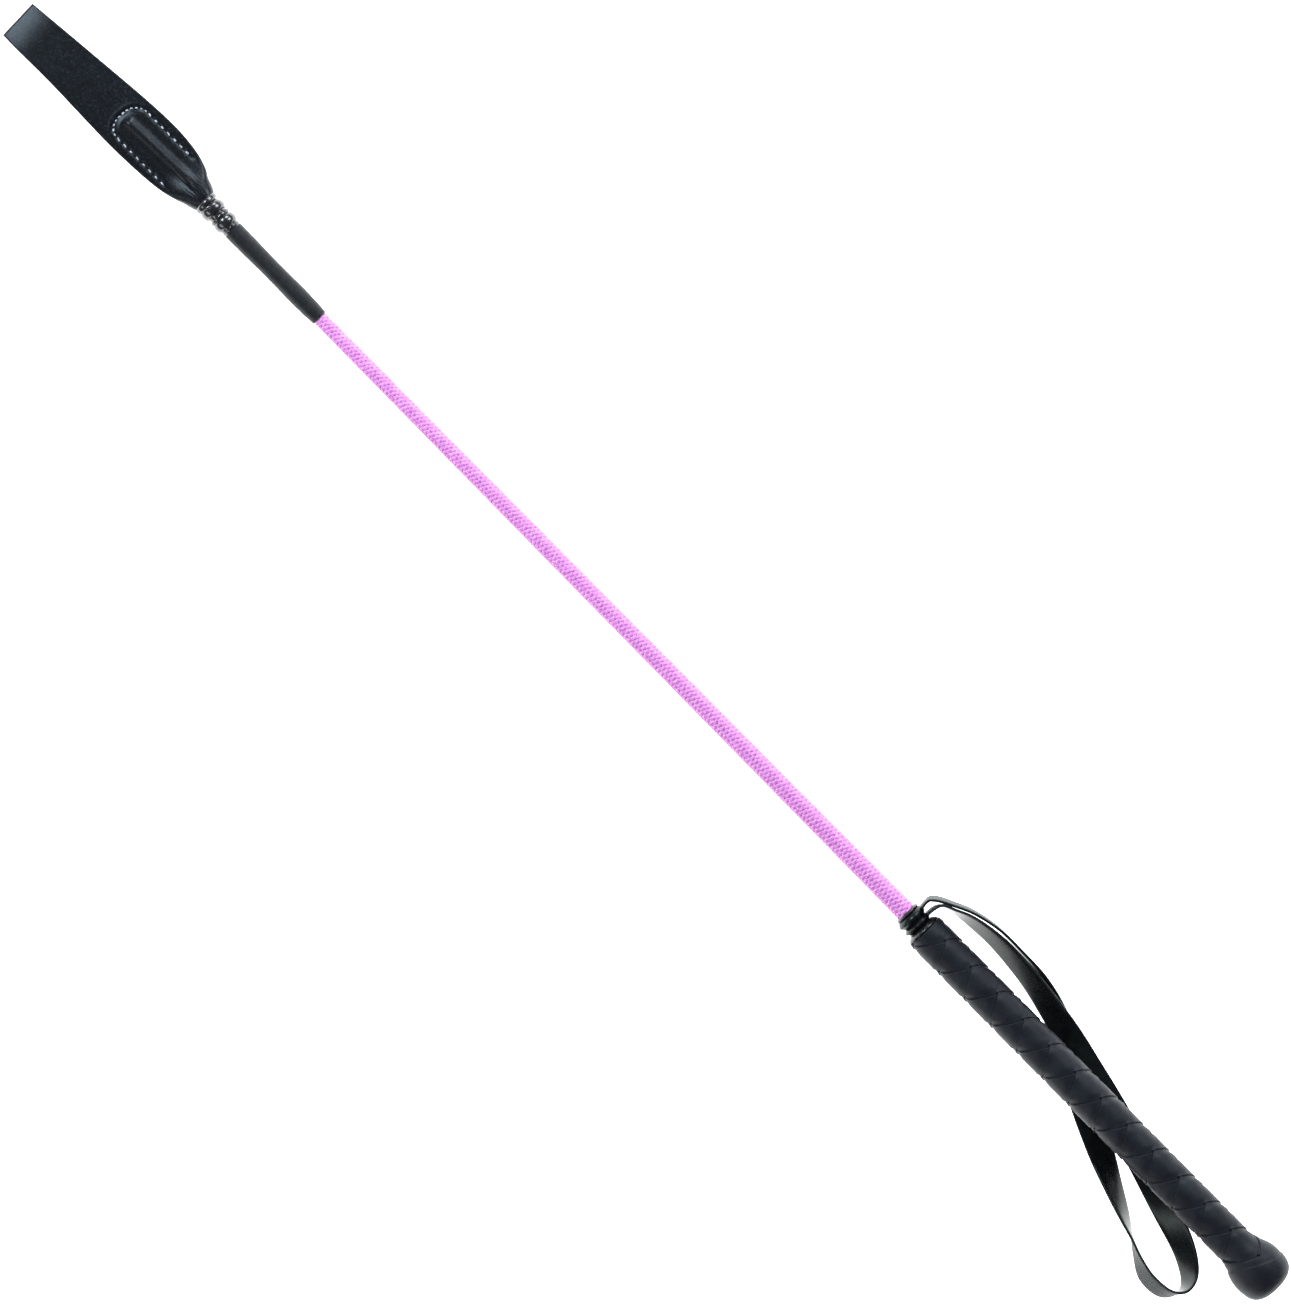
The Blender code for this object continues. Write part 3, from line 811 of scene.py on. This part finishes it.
# Corner radii of the U of stitches on the keeper's lower and higher side.
STITCH_CORNERS = (6.4 * MM, 5.0 * MM)
STITCH_LOW_Y = STITCH_LOW.y + STITCH_RADIUS
STITCH_HIGH_Y = STITCH_HIGH.y - STITCH_RADIUS
STITCH_END_X = STITCH_HIGH.x - STITCH_RADIUS


def keeper_edges(x):
    """Lower and higher edge of the keeper at stations along the shaft."""
    sides = []
    for edge in (KEEPER_LOW_EDGE, KEEPER_HIGH_EDGE):
        path = smooth_path(edge, 6) * MM
        sides.append(np.interp(x, path[:, 0], path[:, 1]))
    return sides


def stitch_distance(x, y):
    """Distance to the U-shaped stitch line on the keeper, negative inside the U."""
    middle = (STITCH_LOW_Y + STITCH_HIGH_Y) / 2
    corner = np.where(y < middle, *STITCH_CORNERS)
    half = (STITCH_HIGH_Y - STITCH_LOW_Y) / 2 - corner
    dx = x - (STITCH_END_X - corner)
    dy = np.abs(y - middle) - half
    return np.hypot(np.maximum(dx, 0), np.maximum(dy, 0)) + np.minimum(np.maximum(dx, dy), 0) - corner


def ridge_height(x, y):
    """Rise of the ridge over the rod, with the crease beside it."""
    along = np.clip((ROD_TIP - x) / RIDGE_LENGTH, 0, 1)
    end = smooth_step((ROD_TIP + RIDGE_END_LENGTH / 2 - x) / RIDGE_END_LENGTH)
    crease = CREASE_START - CREASE_DRIFT * along
    from_crest = y - (crease - CREASE_OFFSET)
    slope = np.where(from_crest < 0, (np.abs(from_crest) / RIDGE_FLANKS[0]) ** 2.0,
                     (np.abs(from_crest) / RIDGE_FLANKS[1]) ** 3.2)
    rise = (RIDGE_RISE + RIDGE_GAIN * along) * np.exp(-slope)
    fall = CREASE_DEPTH * np.exp(-((y - crease - 0.25 * MM) / CREASE_WIDTH) ** 2)
    return end * (rise - fall)


def sewn_height(x, y):
    """Relief that the sewing gives the pocket: padding, groove with its puckers, and rim."""
    gap = stitch_distance(x, y)
    pucker = 1 + 0.5 * np.sin((x + 0.6 * y) * 2 * math.pi / ROW_PITCH)
    groove = GROOVE_UNDER_STITCHES * np.exp(-(gap / STITCH_GROOVE_WIDTH) ** 2) * pucker
    padding = PADDING_HEIGHT * smooth_step(-gap / PADDING_SLOPE)
    rim = RIM_HEIGHT * np.exp(-((gap - RIM_OFFSET) / RIM_WIDTH) ** 2)
    return smooth_step((x - POCKET_RISE_START) / POCKET_RISE_LENGTH) * (padding + rim - groove)


def keeper_height(x, y, side):
    """Height of the keeper's upper or lower leaf over its middle plane."""
    low, high = keeper_edges(x)
    half_width = (high - low) / 2
    share = np.clip(np.abs((y - (low + high) / 2) / half_width), 0, 1)
    height = KEEPER_HALF * (1 - 0.16 * share ** 4) + ridge_height(x, y) + sewn_height(x, y)

    neck = 1 - smooth_step((x - POCKET_START) / NECK_LENGTH)
    cone = np.sqrt(np.maximum(1 - share ** 2.4, 0.0)) * NECK_HEIGHT
    height = (1 - neck) * height + neck * np.maximum(cone, NECK_THINNEST)
    gathers = np.sin(y * 2 * math.pi / GATHER_PITCH + 1.5 * np.sin(x * 900)) * (1 - share ** 2)
    height += GATHER_HEIGHT * neck ** 2 * gathers

    to_tip = np.clip(1 - (KEEPER_TIP - x) / TIP_THINNING_LENGTH, 0, 1)
    height -= TIP_THINNING * to_tip ** 1.5
    if side < 0:
        height = np.where(height > KEEPER_HALF, KEEPER_HALF + 0.85 * (height - KEEPER_HALF), height)
    return height


def keeper_lift(x, y):
    """Gentle set of the leather out of its plane."""
    along = np.clip((x - POCKET_END) / (KEEPER_TIP - POCKET_END), 0, 1)
    curl = np.clip((x - CURL_START) / (KEEPER_TIP - CURL_START), 0, 1)
    return WARP * np.sin(math.pi * along) * (y / (10 * MM)) - CURL_DROP * curl ** 2.2


# The two leaves' edges with the seam between them, from top to bottom: millimetres out from
# the edge, and height as a share of the leaf's.
SEAM = [(0.30, 0.45), (0.22, 0.12), (-0.12, 0.0), (0.22, -0.12), (0.30, -0.45)]


def build_keeper(leather):
    """Folded keeper leather: two leaves with a seam along the edges and a fold at the tip."""
    columns = 64
    fold_start = KEEPER_TIP - FOLD_RADIUS
    x_flat = np.linspace(KEEPER_LOW_EDGE[0][0] * MM, fold_start, 230)
    turn = np.linspace(0, math.pi / 2, 9)[1:]
    stations = [(x, 1.0) for x in x_flat]
    stations += [(fold_start + FOLD_RADIUS * math.sin(a), max(math.cos(a), 0.03)) for a in turn]
    t = np.linspace(-1, 1, columns)
    rings = []
    for x, squeeze in stations:
        low, high = keeper_edges(np.array(x))
        slant = TIP_SLANT * max((x - KEEPER_TIP) / TIP_SLANT_LENGTH + 1, 0.0)
        middle, half = (low + high) / 2, (high - low) / 2 - EDGE_BULGE
        y = middle + half * t
        lift = keeper_lift(x, y)
        top = keeper_height(np.full(columns, x), y, 1) * squeeze
        bottom = keeper_height(np.full(columns, x), y, -1) * squeeze
        x_row = x - slant * (t + 1) / 2
        upper = np.stack([x_row, y, lift + top], axis=1)
        lower = np.stack([x_row, y, lift - bottom], axis=1)[::-1]
        right = [(x_row[-1], y[-1] + out * MM, lift[-1] + z * (top[-1] if z > 0 else bottom[-1]))
                 for out, z in SEAM]
        left = [(x_row[0], y[0] - out * MM, lift[0] + z * (top[0] if z > 0 else bottom[0]))
                for out, z in SEAM[::-1]]
        rings.append(np.vstack([upper, right, lower, left]))
    keeper = link("keeper_leather_fold", *loft(rings), leather, slot="keeper_leather")
    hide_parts("keeper_pocket", "keeper_flap")
    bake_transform(keeper)


END_PITCH = 1.85 * MM
END_SHARE = 0.68
ROW_STARTS = (580.4 * MM, 578.8 * MM)
STITCH_LENGTH = 1.8 * MM
STITCH_HALF_WIDTH = 0.30 * MM
STITCH_PROUD = 0.14 * MM
STITCH_SINK = 0.30 * MM
DOUBLED_STITCHES = (0, 2)


def stitch_places():
    """Centres, headings and lengths of the stitches, closer together round the U's end."""
    low_corner, high_corner = STITCH_CORNERS
    places = []
    for x in np.arange(ROW_STARTS[0], STITCH_END_X - low_corner + 0.6 * MM, ROW_PITCH):
        places.append((x, STITCH_LOW_Y, 0.0, 1.0))
    low_bend, high_bend = math.pi / 2 * low_corner, math.pi / 2 * high_corner
    flat = STITCH_HIGH_Y - STITCH_LOW_Y - low_corner - high_corner
    for s in np.arange(0.6 * END_PITCH, low_bend + flat + high_bend, END_PITCH):
        if s < low_bend:
            a = s / low_corner
            x = STITCH_END_X - low_corner * (1 - math.sin(a))
            y = STITCH_LOW_Y + low_corner * (1 - math.cos(a))
        elif s < low_bend + flat:
            a = math.pi / 2
            x, y = STITCH_END_X, STITCH_LOW_Y + low_corner + s - low_bend
        else:
            a = math.pi / 2 + (s - low_bend - flat) / high_corner
            x = STITCH_END_X - high_corner * (1 - math.sin(a))
            y = STITCH_HIGH_Y - high_corner * (1 + math.cos(a))
        places.append((x, y, a, END_SHARE))
    for x in np.arange(ROW_STARTS[1], STITCH_END_X - high_corner + 0.4 * MM, ROW_PITCH)[::-1]:
        places.append((x, STITCH_HIGH_Y, math.pi, 1.0))
    return places


def build_stitches(thread):
    """Separate stitches on both faces of the keeper, each sunk a little at its ends."""
    section = rounded_section(8, 1.0)
    for name, node, side in (("stitches_top", "keeper_stitching_top", 1),
                             ("stitches_back", "keeper_stitching_back", -1)):
        rng = random.Random(11)
        solids = []
        for index, (x, y, heading, share) in enumerate(stitch_places()):
            length = STITCH_LENGTH * share * rng.uniform(0.8, 1.15)
            thick = STITCH_HALF_WIDTH * rng.uniform(0.8, 1.2)
            if index in DOUBLED_STITCHES:
                thick *= 1.5
            heading += rng.uniform(-0.3, 0.15)
            base = float(keeper_height(np.array([x]), np.array([y]), side)[0])
            rings = []
            for u in np.linspace(-1, 1, 9):
                size = thick * max(1 - abs(u) ** 3.2, 0.18)
                centre = np.array([x + math.cos(heading) * u * length / 2,
                                   y + math.sin(heading) * u * length / 2,
                                   base + STITCH_PROUD - STITCH_SINK * abs(u) ** 3])
                sideways = np.array([-math.sin(heading), math.cos(heading), 0])
                ring = (centre + section[:, :1] * sideways * size
                        + section[:, 1:] * np.array([0, 0, 1.0]) * size * 0.8)
                ring[:, 2] *= side
                rings.append(ring if side > 0 else ring[::-1])
            solids.append(loft(rings))
        stitches = link(name, *join_solids(solids), thread, "crop", "stitch_thread")
        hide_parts(node)


# ---------------------------------------------------------------- hidden CAD nodes

def finish_cad_nodes():
    """Procedural materials for the CAD nodes that stay."""
    rod = make_hidden("glass_fibre_rod", (0.75, 0.74, 0.70), 0.35, 800)
    wood = make_hidden("handle_core_wood", (0.35, 0.24, 0.14), 0.7, 500)
    choices = {"core_rod": rod, "handle_core": wood, "butt_former": wood}
    for node, material in choices.items():
        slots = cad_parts[node].data.materials
        slots.clear()
        slots.append(material)


# ---------------------------------------------------------------- stage, lights and camera

VIEW_HEIGHT = 0.4831
VIEW_AIM = (0.3299, 0.0015)
VIEW_ROLL = -134.62
LENS = 120.0
SENSOR = 36.0
FLOOR_TILT = 0.0148
FLOOR_HALF = 4.0
FLOOR_GLOW = 2.4
FLOOR_GAP = 0.0001
STAGE_MIDDLE = 0.33

# Each soft light's name, place, size, power and colour.
LIGHTS = [
    ("key", (0.33, -1.25, 0.98), (0.65, 0.65), 14, (0.88, 0.95, 1.0)),
    ("fill", (0.33, 1.15, 0.95), (1.3, 0.3), 5, (1, 1, 1)),
    ("tip_side", (1.55, 0.0, 1.10), (0.35, 0.7), 14, (0.80, 0.91, 1.0)),
    ("rim", (1.25, -1.0, 0.80), (0.5, 0.5), 10, (0.88, 0.95, 1.0)),
]


def build_floor():
    """Pale floor, tilted to meet the strap's lowest turn and the front knot."""
    low = cad_box[0]
    material = Surface("pale_floor", (0.90, 0.90, 0.90), 0.9, Specular_IOR_Level=0.0,
                       Emission_Color=(1.0, 1.0, 1.0, 1.0), Emission_Strength=FLOOR_GLOW)
    material.colour(material.noise(3), (0.4, 0.6), ((0.895, 0.895, 0.895), (0.905, 0.905, 0.905)))
    corners = []
    for side_x, side_y in ((-1, -1), (1, -1), (1, 1), (-1, 1)):
        x = STAGE_MIDDLE + side_x * FLOOR_HALF
        corners.append((x, side_y * FLOOR_HALF, low[2] - FLOOR_GAP + (x - 0.1) * FLOOR_TILT))
    floor = link("floor", corners, [(0, 1, 2, 3)], material.material, smooth=False)


def area_light(name, location, size, power, colour):
    """Rectangular light that faces the middle of the crop."""
    light = bpy.data.lights.new(name, "AREA")
    light.shape = "RECTANGLE"
    light.size, light.size_y = size
    light.energy = power
    light.color = colour
    obj = bpy.data.objects.new(name, light)
    obj.location = location
    aim = Vector((STAGE_MIDDLE, 0.0, 0.0)) - Vector(location)
    obj.rotation_euler = aim.to_track_quat("-Z", "Y").to_euler()
    bpy.context.scene.collection.objects.link(obj)


def build_lights():
    """Dim even surroundings and four soft lights."""
    world = bpy.data.worlds.new("studio")
    bpy.context.scene.world = world
    world.use_nodes = True
    background = world.node_tree.nodes["Background"]
    background.inputs["Color"].default_value = (0.93, 0.96, 1.0, 1)
    background.inputs["Strength"].default_value = 0.18
    for light in LIGHTS:
        area_light(*light)


def build_camera():
    """Long lens straight above the crop, turned so that the crop lies on a diagonal."""
    camera = bpy.data.cameras.new("camera")
    camera.lens = LENS
    camera.sensor_width = SENSOR
    camera.clip_start = 0.05
    camera.clip_end = 20
    obj = bpy.data.objects.new("camera", camera)
    obj.location = (*VIEW_AIM, VIEW_HEIGHT * LENS / SENSOR)
    obj.rotation_euler = (0, 0, math.radians(VIEW_ROLL))
    bpy.context.scene.collection.objects.link(obj)
    bpy.context.scene.camera = obj


def main():
    """Builds every piece, then the stage."""
    bpy.context.scene.view_settings.view_transform = "Standard"
    grip_leather = make_grip()
    strap_leather = make_strap_leather()
    build_braid(make_braid_yarn(), make_braid_gap_shade())
    build_tip_binding(make_thread())
    build_knots(make_lace())
    build_grip(grip_leather)
    build_butt(grip_leather)
    build_collar(make_collar(), strap_leather)
    build_strap(strap_leather, make_strap_grain())
    build_keeper(make_keeper_leather())
    build_stitches(make_stitch_thread())
    finish_cad_nodes()
    build_floor()
    build_lights()
    build_camera()


main()
